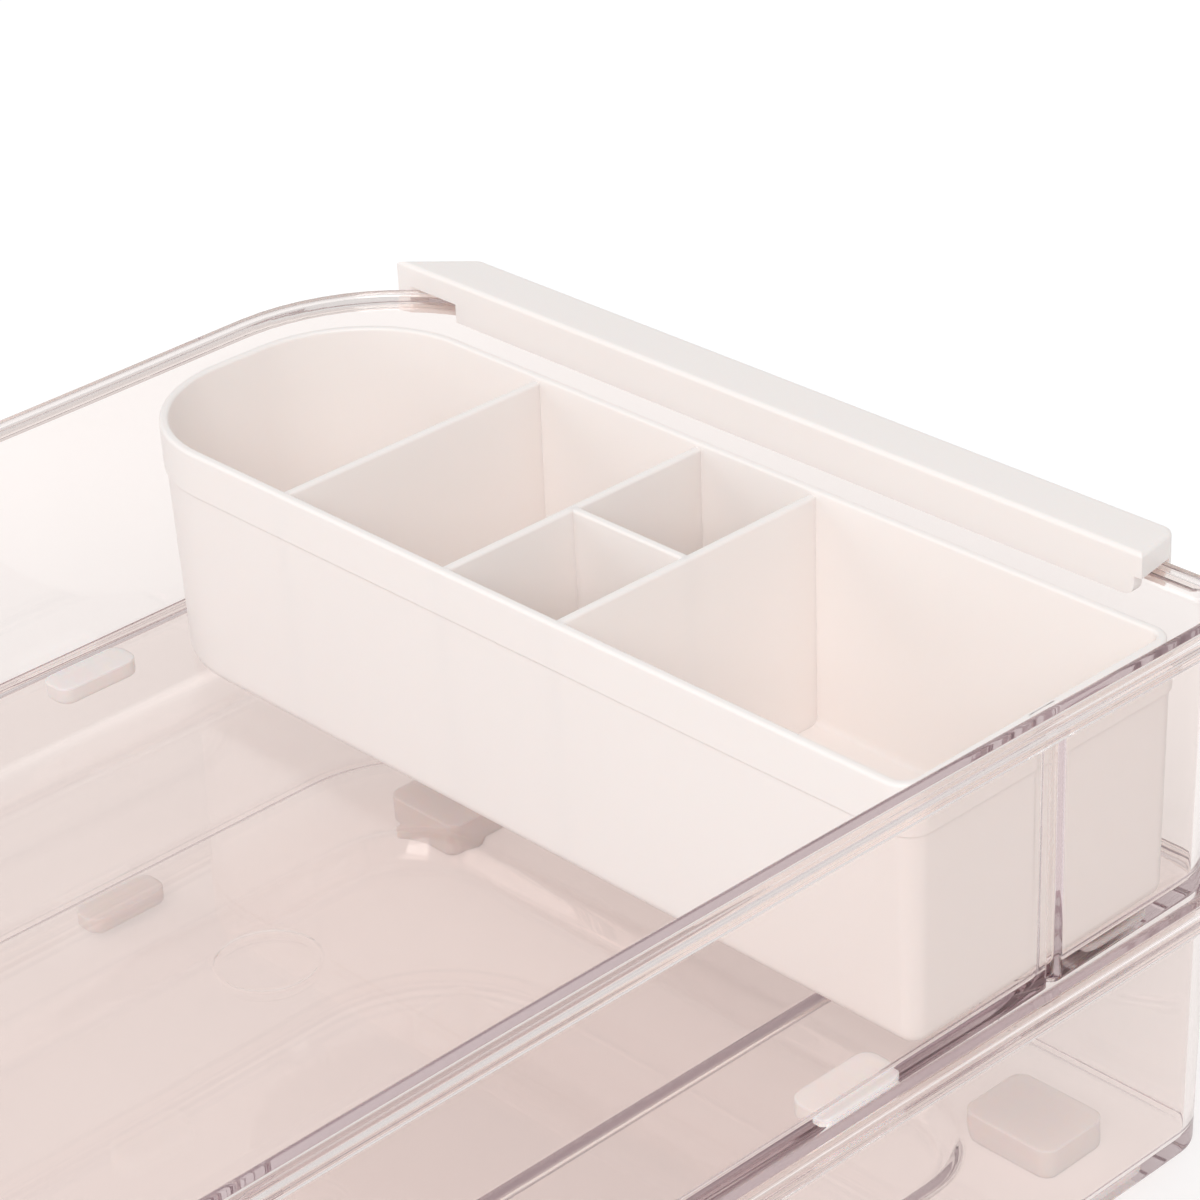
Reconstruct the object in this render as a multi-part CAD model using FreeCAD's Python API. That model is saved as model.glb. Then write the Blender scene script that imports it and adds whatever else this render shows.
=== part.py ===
"""Stackable two-tier makeup case: clear bins, a divided lift-out tray and a clip-on handle rail.

All lengths are millimetres. X runs across the case, Y along it towards the handle rail, Z up.
The origin is the middle of the bins' footprint, on the surface that the case stands on.
"""
import FreeCAD, Part
import math
import os

from FreeCAD import Vector

# ---------------------------------------------------------------- footprint and tiers
case_width = 200.0              # over the rims, along X
case_length = 234.0             # over the rims, along Y
tier_names = ("lower", "upper")
tier_pitch = 48.6               # from one rim to the next
tier_gap = 0.2                  # rim of one bin to the ledge of the bin above
left_corner_radius = 36.0       # outer edge of the rim, in plan, along the left side
right_corner_radius = 12.0      # and along the right side

# ---------------------------------------------------------------- bin walls and rim
wall_thickness = 2.0
wall_lean = 1.2                 # how far a wall leans in from the rim to its foot
rim_width = 5.5                 # inner face of the wall to the outer edge of the rim
rim_thickness = 1.8
rim_edge_bevel = 0.4
skirt_height = 3.0              # outer edge of the rim, top to bottom
skirt_thickness = 1.6

# ---------------------------------------------------------------- ledge, well and floor
ledge_width = 22.0              # level shelf inside the foot of the walls
ledge_thickness = 2.2
well_depth = 4.6                # middle of the floor below the ledge
well_lean = 1.6                 # how far the side of the well leans in
well_corner_radius = 18.0
floor_thickness = 2.2
floor_edge_bevel = 0.9
gate_mark_radius = 8.5          # moulding witness ring in the middle of the floor
gate_mark_width = 0.5
gate_mark_depth = 0.25

# ---------------------------------------------------------------- locating ribs in the long walls
groove_width_top = 3.6          # outer side of a rib
groove_width_foot = 5.6
groove_depth = 4.0
groove_flare = 0.4              # how much narrower each side is at the bottom of the groove
groove_drop = 5.5               # top of the groove below the rim
rib_skin = 1.5                  # plastic round the groove

# ---------------------------------------------------------------- pads under each bin
foot_length = 18.5              # along X
foot_width = 14.5               # along Y
foot_corner_radius = 2.5
foot_inset_x = 22.5             # middle of a foot from the foot of the long wall
foot_inset_y = 14.3             # and from the foot of the short wall
foot_stand = 0.8                # how far a foot reaches below the floor of the well
locator_length = 16.5           # along Y
locator_width = 7.0             # along X
locator_corner_radius = 2.5
locator_offset_y = 33.0
locator_drop = 3.0              # how far a locator hangs below the ledge
locator_clearance = 0.6         # to the wall of the bin below
pad_socket_depth = 0.8
pad_fit = 0.15

# ---------------------------------------------------------------- divided tray
tray_end_clearance = 3.0        # tray's end to the inner face of the long wall
tray_depth = 59.5               # over the rim, along Y
tray_rear_gap = 8.9             # tray's rim to the inner face of the rear wall
tray_rim_drop = 1.6             # tray's rim below the bin's rim
tray_seat_gap = 0.2
tray_left_radius = 25.0
tray_right_radius = 6.0
tray_wall = 1.6
tray_floor = 1.8
tray_lean = 1.2
tray_foot_round = 3.0
tray_lip_bevel = 0.4
tray_band_height = 7.5          # slightly proud band round the top of the tray
tray_band_step = 0.3
notch_clearance = 0.8           # round a rib, where the tray's end is notched
notch_flare = 0.6
divider_thickness = 1.5
divider_drop = 0.9              # tops of the dividers below the tray's rim
left_divider = -44.5            # long dividers, from the middle of the tray
middle_divider = -5.5
right_divider = 20.5
cross_divider = 0.0             # short divider between the last two, along Y

# ---------------------------------------------------------------- handle rail
rail_left_near = 90.0           # left end from the middle of the case, along the edge over the tray
rail_left_far = 78.5            # and along the outer edge
rail_right_near = 81.0
rail_right_far = 79.5
rail_top_height = 4.5           # top of the rail above the rim
rail_fit = 0.3                  # rail to rim, on every side
rail_edge_round = 0.8
rail_corner_round = 2.4
leg_thickness = 1.9             # leg inside the wall
leg_drop = 3.2                  # how far that leg hangs below the rim
leg_setback = 1.5               # right end of the leg from the end of the plate
leg_corner_radius = 2.0
outer_leg_thickness = 2.0
outer_leg_drop = 1.4            # outer leg below the skirt of the rim
catch_reach = 0.9               # catch under the skirt
catch_height = 0.7

# ---------------------------------------------------------------- worked out from the above
half_width = case_width / 2.0
half_length = case_length / 2.0
rim_radii = (left_corner_radius, right_corner_radius)
tray_radii = (tray_left_radius, tray_right_radius)
inner_half_width = half_width - rim_width
inner_half_length = half_length - rim_width
outer_half_width = inner_half_width + wall_thickness
outer_half_length = inner_half_length + wall_thickness
bin_height = tier_pitch - tier_gap
well_drop = well_depth + floor_thickness - ledge_thickness
ledge_level = foot_stand + well_drop
rib_reach = groove_depth + rib_skin - wall_thickness
tray_half_width = inner_half_width - tray_end_clearance
tray_half_depth = tray_depth / 2.0
rib_offset = inner_half_length - tray_rear_gap - tray_half_depth
tray_height = bin_height - ledge_thickness - tray_seat_gap - tray_rim_drop
notch_depth = rib_reach - tray_end_clearance + notch_clearance
overshoot = 1.0                 # how far a cutting shape runs past the face that it cuts


def shrunk(radii, inset):
    """Corner radii of an outline that lies the inset within another one."""
    return tuple(radius - inset for radius in radii)


def rounded_rectangle(half_x, half_y, radii, level):
    """Closed wire of a rectangle centred on the Z axis, with its own corner radius along either side."""
    edges = []
    corners = [(1, 1), (-1, 1), (-1, -1), (1, -1)]
    arcs = []
    for sign_x, sign_y in corners:
        radius = radii[1] if sign_x > 0 else radii[0]
        diagonal = math.sqrt(0.5) * radius
        centre = Vector(sign_x * (half_x - radius), sign_y * (half_y - radius), level)
        on_side = centre + Vector(sign_x * radius, 0, 0)
        on_end = centre + Vector(0, sign_y * radius, 0)
        middle = centre + Vector(sign_x * diagonal, sign_y * diagonal, 0)
        if sign_x * sign_y > 0:
            arcs.append((on_side, middle, on_end))
        else:
            arcs.append((on_end, middle, on_side))
    for index, (first, middle, last) in enumerate(arcs):
        following = arcs[(index + 1) % len(arcs)][0]
        edges.append(Part.Arc(first, middle, last).toShape())
        edges.append(Part.LineSegment(last, following).toShape())
    return Part.Wire(edges)


def rounded_block(half_x, half_y, radii, bottom, top, lean=0.0):
    """Solid between two levels, smaller at its foot than at its top by the lean on every side."""
    foot = rounded_rectangle(half_x - lean, half_y - lean, shrunk(radii, lean), bottom)
    head = rounded_rectangle(half_x, half_y, radii, top)
    return Part.makeLoft([foot, head], True, True)


def centred_box(size_x, size_y, bottom, top, centre_x=0.0, centre_y=0.0):
    """Box given by its footprint, the middle of that footprint and two levels."""
    corner = Vector(centre_x - size_x / 2.0, centre_y - size_y / 2.0, bottom)
    return Part.makeBox(size_x, size_y, top - bottom, corner)


def polygon(points):
    """Closed wire through the points."""
    return Part.makePolygon(points + [points[0]])


def level_edges(shape, level):
    """Edges of a shape that lie in one level plane."""
    tolerance = 0.01
    return [edge for edge in shape.Edges
            if abs(edge.BoundBox.ZMin - level) < tolerance and abs(edge.BoundBox.ZMax - level) < tolerance]


def corner_signs():
    """The four pairs of signs that mirror a piece into each corner."""
    return [(side, end) for side in (-1, 1) for end in (-1, 1)]


def wall_wedge(side, centre_y, skin, bottom, top):
    """Upright tapering wedge through a long wall: the groove when the skin is 0, the rib with its skin.

    It follows the lean of the wall, so its depth from the wall's outer face is the same all the way up.
    """
    slope = (groove_width_foot - groove_width_top) / (bin_height - groove_drop)
    sections = []
    for level in (bottom, top):
        below_top = bin_height - groove_drop - level
        mouth = groove_width_top / 2.0 + skin + slope * below_top / 2.0
        lean = wall_lean * (bin_height - level) / bin_height
        face = side * (outer_half_width + overshoot)
        back = side * (outer_half_width - groove_depth - skin - lean)
        sections.append(polygon([Vector(face, centre_y - mouth, level),
                                 Vector(face, centre_y + mouth, level),
                                 Vector(back, centre_y + mouth - groove_flare, level),
                                 Vector(back, centre_y - mouth + groove_flare, level)]))
    return Part.makeLoft(sections, True, True)


def pad_places():
    """Name, middle, size and corner radius of each pad under a bin, and how far it hangs below the ledge."""
    places = []
    foot_x = inner_half_width - wall_lean - foot_inset_x
    foot_y = inner_half_length - wall_lean - foot_inset_y
    locator_x = inner_half_width - wall_lean - locator_clearance - locator_width / 2.0
    for side, end in corner_signs():
        corner = "%s_%s" % ("rear" if end > 0 else "front", "right" if side > 0 else "left")
        places.append(("foot_" + corner, side * foot_x, end * foot_y,
                       foot_length, foot_width, foot_corner_radius, well_drop + foot_stand))
        places.append(("locator_" + corner, side * locator_x, end * locator_offset_y,
                       locator_width, locator_length, locator_corner_radius, locator_drop))
    return places


def pad_block(centre_x, centre_y, size_x, size_y, radius, bottom, top):
    """Upright block with round corners, away from the Z axis."""
    block = rounded_block(size_x / 2.0, size_y / 2.0, (radius, radius), bottom, top)
    block.translate(Vector(centre_x, centre_y, 0))
    return block


def make_rim():
    """Rim that turns out from the top of the wall and down into a skirt."""
    rim = rounded_block(half_width, half_length, rim_radii, bin_height - skirt_height, bin_height)
    rim = rim.makeChamfer(rim_edge_bevel, level_edges(rim, bin_height))
    under = rounded_block(half_width - skirt_thickness, half_length - skirt_thickness,
                          shrunk(rim_radii, skirt_thickness),
                          bin_height - skirt_height - overshoot, bin_height - rim_thickness)
    return rim.cut(under)


def make_bin():
    """One clear bin, its ledge standing on level zero and its well hanging below it."""
    wall = rounded_block(outer_half_width, outer_half_length, shrunk(rim_radii, rim_width - wall_thickness),
                         0.0, bin_height, wall_lean)
    body = wall.fuse(make_rim())

    cavity_lean = wall_lean * (bin_height + overshoot - ledge_thickness) / bin_height
    cavity = rounded_block(inner_half_width, inner_half_length, shrunk(rim_radii, rim_width),
                           ledge_thickness, bin_height + overshoot, cavity_lean)
    grooves = []
    for side, end in corner_signs():
        centre_y = end * rib_offset
        rib = wall_wedge(side, centre_y, rib_skin, ledge_thickness - overshoot,
                         bin_height - groove_drop + rib_skin)
        cavity = cavity.cut(rib)
        grooves.append(wall_wedge(side, centre_y, 0.0, -overshoot, bin_height - groove_drop))
    body = body.cut(cavity)

    well_half_x = inner_half_width - wall_lean - ledge_width
    well_half_y = inner_half_length - wall_lean - ledge_width
    well_radii = (well_corner_radius, well_corner_radius)
    pan = rounded_block(well_half_x + floor_thickness, well_half_y + floor_thickness,
                        shrunk(well_radii, -floor_thickness),
                        -well_drop, ledge_thickness / 2.0, well_lean)
    pan = pan.makeChamfer(floor_edge_bevel, level_edges(pan, -well_drop))
    floor_top = floor_thickness - well_drop
    well = rounded_block(well_half_x, well_half_y, well_radii,
                         floor_top, ledge_thickness + overshoot, well_lean)
    body = body.fuse(pan).cut(well)

    for groove in grooves:
        body = body.cut(groove)
    for name, centre_x, centre_y, size_x, size_y, radius, drop in pad_places():
        body = body.cut(pad_block(centre_x, centre_y, size_x + 2 * pad_fit, size_y + 2 * pad_fit,
                                  radius + pad_fit, -overshoot, pad_socket_depth))

    ring_bottom = Vector(0, 0, floor_top - gate_mark_depth)
    ring = Part.makeCylinder(gate_mark_radius, overshoot, ring_bottom)
    ring = ring.cut(Part.makeCylinder(gate_mark_radius - gate_mark_width, overshoot, ring_bottom))
    return body.cut(ring)


def make_pad(centre_x, centre_y, size_x, size_y, radius, drop):
    """One soft pad, whose top sits in a socket under the ledge."""
    return pad_block(centre_x, centre_y, size_x, size_y, radius, -drop, pad_socket_depth - pad_fit)


def notch_wedge(side, wall):
    """Upright wedge at the tray's end that clears a rib; with a wall it is that much larger."""
    slope = (groove_width_foot - groove_width_top) / (bin_height - groove_drop)
    sections = []
    for level, lean in ((0.0, tray_lean), (tray_height, 0.0)):
        above_ledge = ledge_thickness + tray_seat_gap + level
        groove_half = groove_width_top / 2.0 + slope * (bin_height - groove_drop - above_ledge) / 2.0
        half = groove_half + rib_skin + notch_clearance + wall
        face = side * (tray_half_width + overshoot)
        back = side * (tray_half_width - lean - notch_depth - wall)
        sections.append(polygon([Vector(face, -half - notch_flare, level),
                                 Vector(back, -half, level),
                                 Vector(back, half, level),
                                 Vector(face, half + notch_flare, level)]))
    return Part.makeLoft(sections, True, True)


def make_tray():
    """White tray with a proud top band, a rounded foot, notched ends and five compartments."""
    body = rounded_block(tray_half_width - tray_band_step, tray_half_depth - tray_band_step,
                         shrunk(tray_radii, tray_band_step), 0.0, tray_height, tray_lean)
    body = body.makeFillet(tray_foot_round, level_edges(body, 0.0))
    band = rounded_block(tray_half_width, tray_half_depth, tray_radii,
                         tray_height - tray_band_height, tray_height)
    body = body.fuse(band).removeSplitter()
    body = body.makeChamfer(tray_lip_bevel, level_edges(body, tray_height))

    cavity_lean = tray_lean * (tray_height + overshoot - tray_floor) / tray_height
    cavity = rounded_block(tray_half_width - tray_wall, tray_half_depth - tray_wall,
                           shrunk(tray_radii, tray_wall), tray_floor, tray_height + overshoot, cavity_lean)
    for side in (-1, 1):
        body = body.cut(notch_wedge(side, 0.0))
        cavity = cavity.cut(notch_wedge(side, tray_wall))
    divider_top = tray_height - divider_drop
    for place in (left_divider, middle_divider, right_divider):
        cavity = cavity.cut(centred_box(divider_thickness, tray_depth, 0.0, divider_top, place))
    cavity = cavity.cut(centred_box(right_divider - middle_divider, divider_thickness, 0.0, divider_top,
                                    (middle_divider + right_divider) / 2.0, cross_divider))
    return body.cut(cavity)


def make_rail():
    """White handle rail over the rear rim, its underside on level zero at the top of the rim."""
    near = inner_half_length - rail_fit - leg_thickness
    far = half_length + rail_fit + outer_leg_thickness
    leg_foot = -leg_drop
    hook_foot = -skirt_height - outer_leg_drop
    plan = polygon([Vector(-rail_left_near, near, hook_foot), Vector(rail_right_near, near, hook_foot),
                    Vector(rail_right_far, far, hook_foot), Vector(-rail_left_far, far, hook_foot)])
    rail = Part.Face(plan).extrude(Vector(0, 0, rail_top_height - hook_foot))
    outer_corners = [edge for edge in rail.Edges
                     if edge.BoundBox.ZLength > rail_top_height and edge.BoundBox.YMin > (near + far) / 2.0]
    rail = rail.makeFillet(rail_corner_round, outer_corners)
    rail = rail.makeFillet(rail_edge_round, level_edges(rail, rail_top_height))

    over_rim = rounded_block(half_width + rail_fit, half_length + rail_fit, shrunk(rim_radii, -rail_fit),
                             hook_foot - overshoot, rail_fit)
    leg_end = rail_right_near - leg_setback
    leg = centred_box(rail_left_near + leg_end, leg_thickness, leg_foot, rail_fit + overshoot,
                      (leg_end - rail_left_near) / 2.0, near + leg_thickness / 2.0)
    leg_corners = [edge for edge in level_edges(leg, leg_foot) if edge.BoundBox.YLength > leg_thickness / 2.0]
    leg = leg.makeFillet(leg_corner_radius, leg_corners)
    inside_wall = rounded_block(inner_half_width - rail_fit, inner_half_length - rail_fit,
                                shrunk(rim_radii, rim_width + rail_fit),
                                leg_foot - overshoot, rail_top_height)
    rail = rail.cut(over_rim).fuse(leg.common(inside_wall))

    catch_left = left_corner_radius - half_width
    catch_right = rail_right_far - rail_corner_round
    catch_top = -skirt_height - rail_fit
    catch_tip = half_length - catch_reach
    root = half_length + rail_fit
    catch = polygon([Vector(catch_left, root, catch_top), Vector(catch_left, catch_tip, catch_top),
                     Vector(catch_left, catch_tip, catch_top - catch_height / 3.0),
                     Vector(catch_left, root, catch_top - catch_height)])
    catch = Part.Face(catch).extrude(Vector(catch_right - catch_left, 0, 0))
    return rail.fuse(catch).removeSplitter()


def export(shape, name, level, centre_y=0.0):
    """Lift a sub-part to its level and write it to its own file."""
    placed = shape.copy()
    placed.translate(Vector(0, centre_y, level))
    placed.exportStep("parts/%s.step" % name)


def main():
    """Build every sub-part in its place and write it out."""
    os.makedirs("parts", exist_ok=True)
    bin_shape = make_bin()
    for tier, tier_name in enumerate(tier_names):
        level = ledge_level + tier * tier_pitch
        export(bin_shape, tier_name + "_bin", level)
        for name, centre_x, centre_y, size_x, size_y, radius, drop in pad_places():
            pad = make_pad(centre_x, centre_y, size_x, size_y, radius, drop)
            export(pad, "%s_%s" % (tier_name, name), level)
    top_bin_level = ledge_level + (len(tier_names) - 1) * tier_pitch
    export(make_tray(), "divided_tray", top_bin_level + ledge_thickness + tray_seat_gap, rib_offset)
    export(make_rail(), "handle_rail", top_bin_level + bin_height)


main()
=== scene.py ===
"""Looks of a stackable makeup case: clear bins, a divided tray, soft pads and a handle rail.

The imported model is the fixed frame. The bins, the tray and the pads get finely rounded surfaces worked
out from the sizes of their nodes, the rail keeps its node, and every finish is procedural.
"""
import logging
import math
from dataclasses import dataclass, field
from enum import Enum

import bpy
import numpy as np
from mathutils import Matrix, Vector


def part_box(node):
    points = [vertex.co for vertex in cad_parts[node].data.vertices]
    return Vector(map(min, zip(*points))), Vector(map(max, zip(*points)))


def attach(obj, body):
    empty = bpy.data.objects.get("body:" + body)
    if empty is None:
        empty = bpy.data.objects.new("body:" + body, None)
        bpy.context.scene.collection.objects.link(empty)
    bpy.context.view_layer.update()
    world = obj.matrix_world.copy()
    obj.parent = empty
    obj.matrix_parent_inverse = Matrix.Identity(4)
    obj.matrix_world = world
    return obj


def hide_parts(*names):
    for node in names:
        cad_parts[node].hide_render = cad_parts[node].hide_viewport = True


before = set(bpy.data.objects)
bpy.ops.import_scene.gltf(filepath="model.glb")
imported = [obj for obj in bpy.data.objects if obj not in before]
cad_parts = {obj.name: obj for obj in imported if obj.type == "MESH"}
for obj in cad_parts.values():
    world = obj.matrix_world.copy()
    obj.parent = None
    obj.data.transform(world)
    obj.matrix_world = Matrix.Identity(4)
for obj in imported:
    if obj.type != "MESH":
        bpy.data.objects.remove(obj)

LOG = logging.getLogger("makeup_case")
MM = 0.001
BOW_POWER = 1.25
STRAIGHT = 0.49 * math.pi
Triple = tuple[float, float, float]


class Slot(Enum):
    """Material slots of the record that the pieces' finishes belong to."""

    CLEAR = "tinted_clear_plastic"
    WHITE = "warm_white_plastic"
    FOOT = "white_silicone"
    LOCATOR = "clear_silicone"


class Tier(Enum):
    """The two bins of the stack, by the first word of their nodes' names."""

    LOWER = "lower"
    UPPER = "upper"

    @property
    def body(self) -> str:
        """Name of the body that this bin and its pads ride on."""
        return self.value + "_tier"

    @classmethod
    def of(cls, node: str) -> "Tier":
        """Bin that a node belongs to, by the first word of its name."""
        return cls(node.split("_")[0])


# ---------------------------------------------------------------------------- shared geometry


def smooth_step(value: np.ndarray) -> np.ndarray:
    """Ramp from 0 to 1 with level ends: three times the clamped value's square less twice its cube."""
    clamped = np.clip(value, 0.0, 1.0)
    return clamped * clamped * (3.0 - 2.0 * clamped)


@dataclass(frozen=True)
class Turn:
    """Corner of a cross-section: offset in from the plan's edge, height and rounding, in mm."""

    offset: float
    height: float
    rounding: float = 0.0


def rounded_section(turns: list[Turn], steps: int = 4, support: float = 0.4) -> np.ndarray:
    """Open cross-section whose corners are arcs tangent to both of their runs.

    The tangent points lie the rounding divided by the tangent of half the inside angle away from the
    corner, and the arc's points turn evenly about its centre. A support point lies outside each end of an
    arc, so that the smooth shading of the arc doesn't spread over the flats. A corner without rounding, or
    almost straight, stays a point.

    Args:
        turns: corners of the section in order; the first and last are ends and stay sharp.
        steps: how many chords each arc has.
        support: distance of a support point from the arc's end, as a share of the rounding.

    Returns:
        Array of offset and height, one row for each point.
    """
    points = [(turns[0].offset, turns[0].height)]
    for before, turn, after in zip(turns, turns[1:], turns[2:]):
        here = np.array([turn.offset, turn.height])
        back = np.array([before.offset, before.height]) - here
        ahead = np.array([after.offset, after.height]) - here
        back = back / np.linalg.norm(back)
        ahead = ahead / np.linalg.norm(ahead)
        half_inside = 0.5 * math.acos(float(np.clip(back @ ahead, -1.0, 1.0)))
        if turn.rounding <= 0.0 or half_inside > STRAIGHT:
            points.append(tuple(here))
            continue
        reach = turn.rounding / math.tan(half_inside)
        middle = (back + ahead) / np.linalg.norm(back + ahead)
        centre = here + middle * turn.rounding / math.sin(half_inside)
        first = here + back * reach - centre
        last = here + ahead * reach - centre
        sweep = math.atan2(first[0] * last[1] - first[1] * last[0], first @ last)
        points.append(tuple(here + back * (reach + support * turn.rounding)))
        for angle in np.linspace(0.0, sweep, steps + 1):
            cosine, sine = math.cos(angle), math.sin(angle)
            points.append((centre[0] + cosine * first[0] - sine * first[1],
                           centre[1] + sine * first[0] + cosine * first[1]))
        points.append(tuple(here + ahead * (reach + support * turn.rounding)))
    points.append((turns[-1].offset, turns[-1].height))
    return np.array(points)


@dataclass(frozen=True)
class Ribs:
    """Upright ribs pressed into both long sides, as they cross each ring of a section.

    Args:
        centres: places of the ribs along the side, in mm.
        half_width: half the width of a rib at each ring.
        depth: how far it stands in at each ring.
        knots: stations across half a rib, as shares of its half width, from the outside in.
        ramp: width of a rib's slanted side, as a share of its half width.
    """

    centres: tuple[float, ...]
    half_width: np.ndarray
    depth: np.ndarray
    knots: tuple[float, ...] = (1.5, 1.15, 1.03, 0.97, 0.92, 0.86, 0.8, 0.72, 0.5, 0.0)
    ramp: float = 0.22

    @property
    def stations(self) -> np.ndarray:
        """Stations right across a rib, in order."""
        return np.array([-knot for knot in self.knots] + list(self.knots[-2::-1]))

    def profile(self) -> np.ndarray:
        """Share of the depth at each station: a trapezoid with smooth corners."""
        return smooth_step((1.0 - np.abs(self.stations)) / self.ramp)


@dataclass
class Plan:
    """Rounded rectangle seen from above, with its own corner radius along either side. Sizes in mm."""

    half_x: float
    half_y: float
    left: float
    right: float
    centre_x: float = 0.0
    centre_y: float = 0.0
    corner_steps: int = 14
    end_stations: int = 12
    side_spacing: float = 8.0

    def side(self, reach: float, rings: int, ribs: Ribs | None) -> tuple[np.ndarray, np.ndarray]:
        """Stations along one long side, and the rib's share of its depth at each.

        Args:
            reach: how far the stations run either way from the middle.
            rings: how many rings the section has.
            ribs: ribs of this side, or None.

        Returns:
            Array of rings by stations, and one share for each station.
        """
        centres = ribs.centres if ribs else ()
        marks = (-reach, *centres, reach)
        edge = np.full((rings, 1), -reach)
        stations, profile = [], []
        for number, (start, end) in enumerate(zip(marks, marks[1:])):
            rib_ahead = number < len(centres)
            block = end + ribs.stations[None, :] * ribs.half_width[:, None] if rib_ahead else None
            far = block[:, :1] if rib_ahead else np.full((rings, 1), reach)
            count = max(2, round((end - start) / self.side_spacing))
            share = np.linspace(0.0, 1.0, count + 2)[1:-1][None, :]
            stations.append(edge + (far - edge) * share)
            profile.append(np.zeros(count))
            if rib_ahead:
                stations.append(block)
                profile.append(ribs.profile())
                edge = block[:, -1:]
        return np.concatenate(stations, axis=1), np.concatenate(profile)

    def sweep(self, section: np.ndarray, left: np.ndarray, right: np.ndarray,
              ribs: tuple[Ribs | None, Ribs | None] = (None, None),
              bow: np.ndarray | None = None) -> np.ndarray:
        """Carry a cross-section round the plan.

        Along a long side, x is the half width less the offset, less the rib's depth times its share, less
        the bow times the bow's power of one less the squared share of the way along the side. In a corner
        the point turns about the corner's centre at that ring's radius.

        Args:
            section: offsets and heights, one row for each ring.
            left: corner radius of each ring along the left side.
            right: corner radius of each ring along the right side.
            ribs: ribs in the left and in the right side, or None.
            bow: how far the middle of a long side stands in at each ring, or None.

        Returns:
            Array of rings by points round the plan by three coordinates.
        """
        offset, height = section[:, 0:1], section[:, 1:2]
        half_x, half_y = self.half_x - offset, self.half_y - offset
        sides, corners = [], []
        for sign, corner, turn, row in ((1, self.right, right[:, None], ribs[1]),
                                        (-1, self.left, left[:, None], ribs[0])):
            straight = self.half_y - corner
            run = half_y - turn
            stations, profile = self.side(straight, len(section), row)
            along = stations * run / straight
            inward = np.zeros_like(along)
            if row is not None:
                inward = inward + row.depth[:, None] * profile[None, :]
            if bow is not None:
                inward = inward + bow[:, None] * np.maximum(1.0 - (along / run) ** 2, 0.0) ** BOW_POWER
            sides.append(np.stack([sign * (half_x - inward), sign * along,
                                   np.broadcast_to(height, along.shape)], axis=-1))
            angle = 0.5 * math.pi * np.linspace(0.0, 1.0, self.corner_steps + 1)[None, :]
            x, y = half_x - turn + turn * np.cos(angle), run + turn * np.sin(angle)
            level = np.broadcast_to(height, x.shape)
            far = np.stack([sign * x, sign * y, level], axis=-1)
            near = np.stack([sign * x, -sign * y, level], axis=-1)
            corners.append((far, near[:, ::-1]))
        share = np.linspace(0.0, 1.0, self.end_stations + 2)[1:-1][None, :]
        reach_left, reach_right = half_x - left[:, None], half_x - right[:, None]
        across = reach_right - (reach_left + reach_right) * share
        level = np.broadcast_to(height, across.shape)
        rear = np.stack([across, np.broadcast_to(half_y, across.shape), level], axis=-1)
        front = np.stack([across[:, ::-1], np.broadcast_to(-half_y, across.shape), level], axis=-1)
        (right_rear, right_front), (left_front, left_rear) = corners
        rings = np.concatenate([sides[0], right_rear, rear, left_rear,
                                sides[1], left_front, front, right_front], axis=1)
        rings[..., 0] += self.centre_x
        rings[..., 1] += self.centre_y
        return rings


def ring_faces(rings: int, around: int) -> list[tuple[int, ...]]:
    """Faces of a closed skin: quads between neighbouring rings, and a fan to a pole at either end.

    The two poles are the vertices that follow the rings' own. Rings turn anticlockwise seen from above,
    and run from the inside of the skin to the outside.

    Args:
        rings: how many rings there are.
        around: how many points each ring has.

    Returns:
        Vertex numbers of each face.
    """
    index = np.arange(rings * around).reshape(rings, around)
    after = np.roll(index, -1, axis=1)
    quads = np.stack([index[:-1], index[1:], after[1:], after[:-1]], axis=-1).reshape(-1, 4)
    faces = [tuple(face) for face in quads.tolist()]
    first, last = rings * around, rings * around + 1
    faces += [(first, a, b) for a, b in zip(index[0].tolist(), after[0].tolist())]
    faces += [(last, b, a) for a, b in zip(index[-1].tolist(), after[-1].tolist())]
    return faces


@dataclass
class Skin:
    """Vertices and faces of one mesh, gathered from closed shells. Points in mm."""

    points: list[np.ndarray] = field(default_factory=list)
    faces: list[tuple[int, ...]] = field(default_factory=list)
    count: int = 0

    def add(self, points: np.ndarray, faces: list[tuple[int, ...]]) -> None:
        """Add one shell and renumber its faces.

        Args:
            points: the shell's vertices, one row each.
            faces: its faces, numbered from its own first vertex.
        """
        self.faces += [tuple(corner + self.count for corner in face) for face in faces]
        self.points.append(points)
        self.count += len(points)

    def add_rings(self, rings: np.ndarray) -> None:
        """Add a closed skin from its rings, with a pole in the middle of the first and the last ring."""
        poles = np.stack([rings[0].mean(axis=0), rings[-1].mean(axis=0)])
        self.add(np.concatenate([rings.reshape(-1, 3), poles]), ring_faces(*rings.shape[:2]))

    def build(self, name: str, body: str, node: str, slot: Slot,
              material: bpy.types.Material) -> bpy.types.Object:
        """Make the mesh object at the origin, let it ride its body, and put it in its node's place.

        Args:
            name: name of the new piece.
            body: body that it rides on.
            node: node that it replaces.
            slot: the record's slot that its finish belongs to; not used.
            material: its finish.

        Returns:
            The new piece.
        """
        mesh = bpy.data.meshes.new(name)
        mesh.from_pydata((np.concatenate(self.points) * MM).tolist(), [], self.faces)
        mesh.validate()
        mesh.polygons.foreach_set("use_smooth", np.ones(len(mesh.polygons), dtype=bool))
        mesh.materials.append(material)
        piece = bpy.data.objects.new(name, mesh)
        bpy.context.scene.collection.objects.link(piece)
        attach(piece, body)
        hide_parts(node)
        LOG.info("%s: %d faces", name, len(mesh.polygons))
        return piece


# ---------------------------------------------------------------------------- bins


@dataclass(frozen=True)
class Groove:
    """Upright groove pressed into a long wall from outside, with its rib inside. Sizes in mm."""

    top_width: float
    foot_width: float
    depth: float
    skin: float


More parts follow.
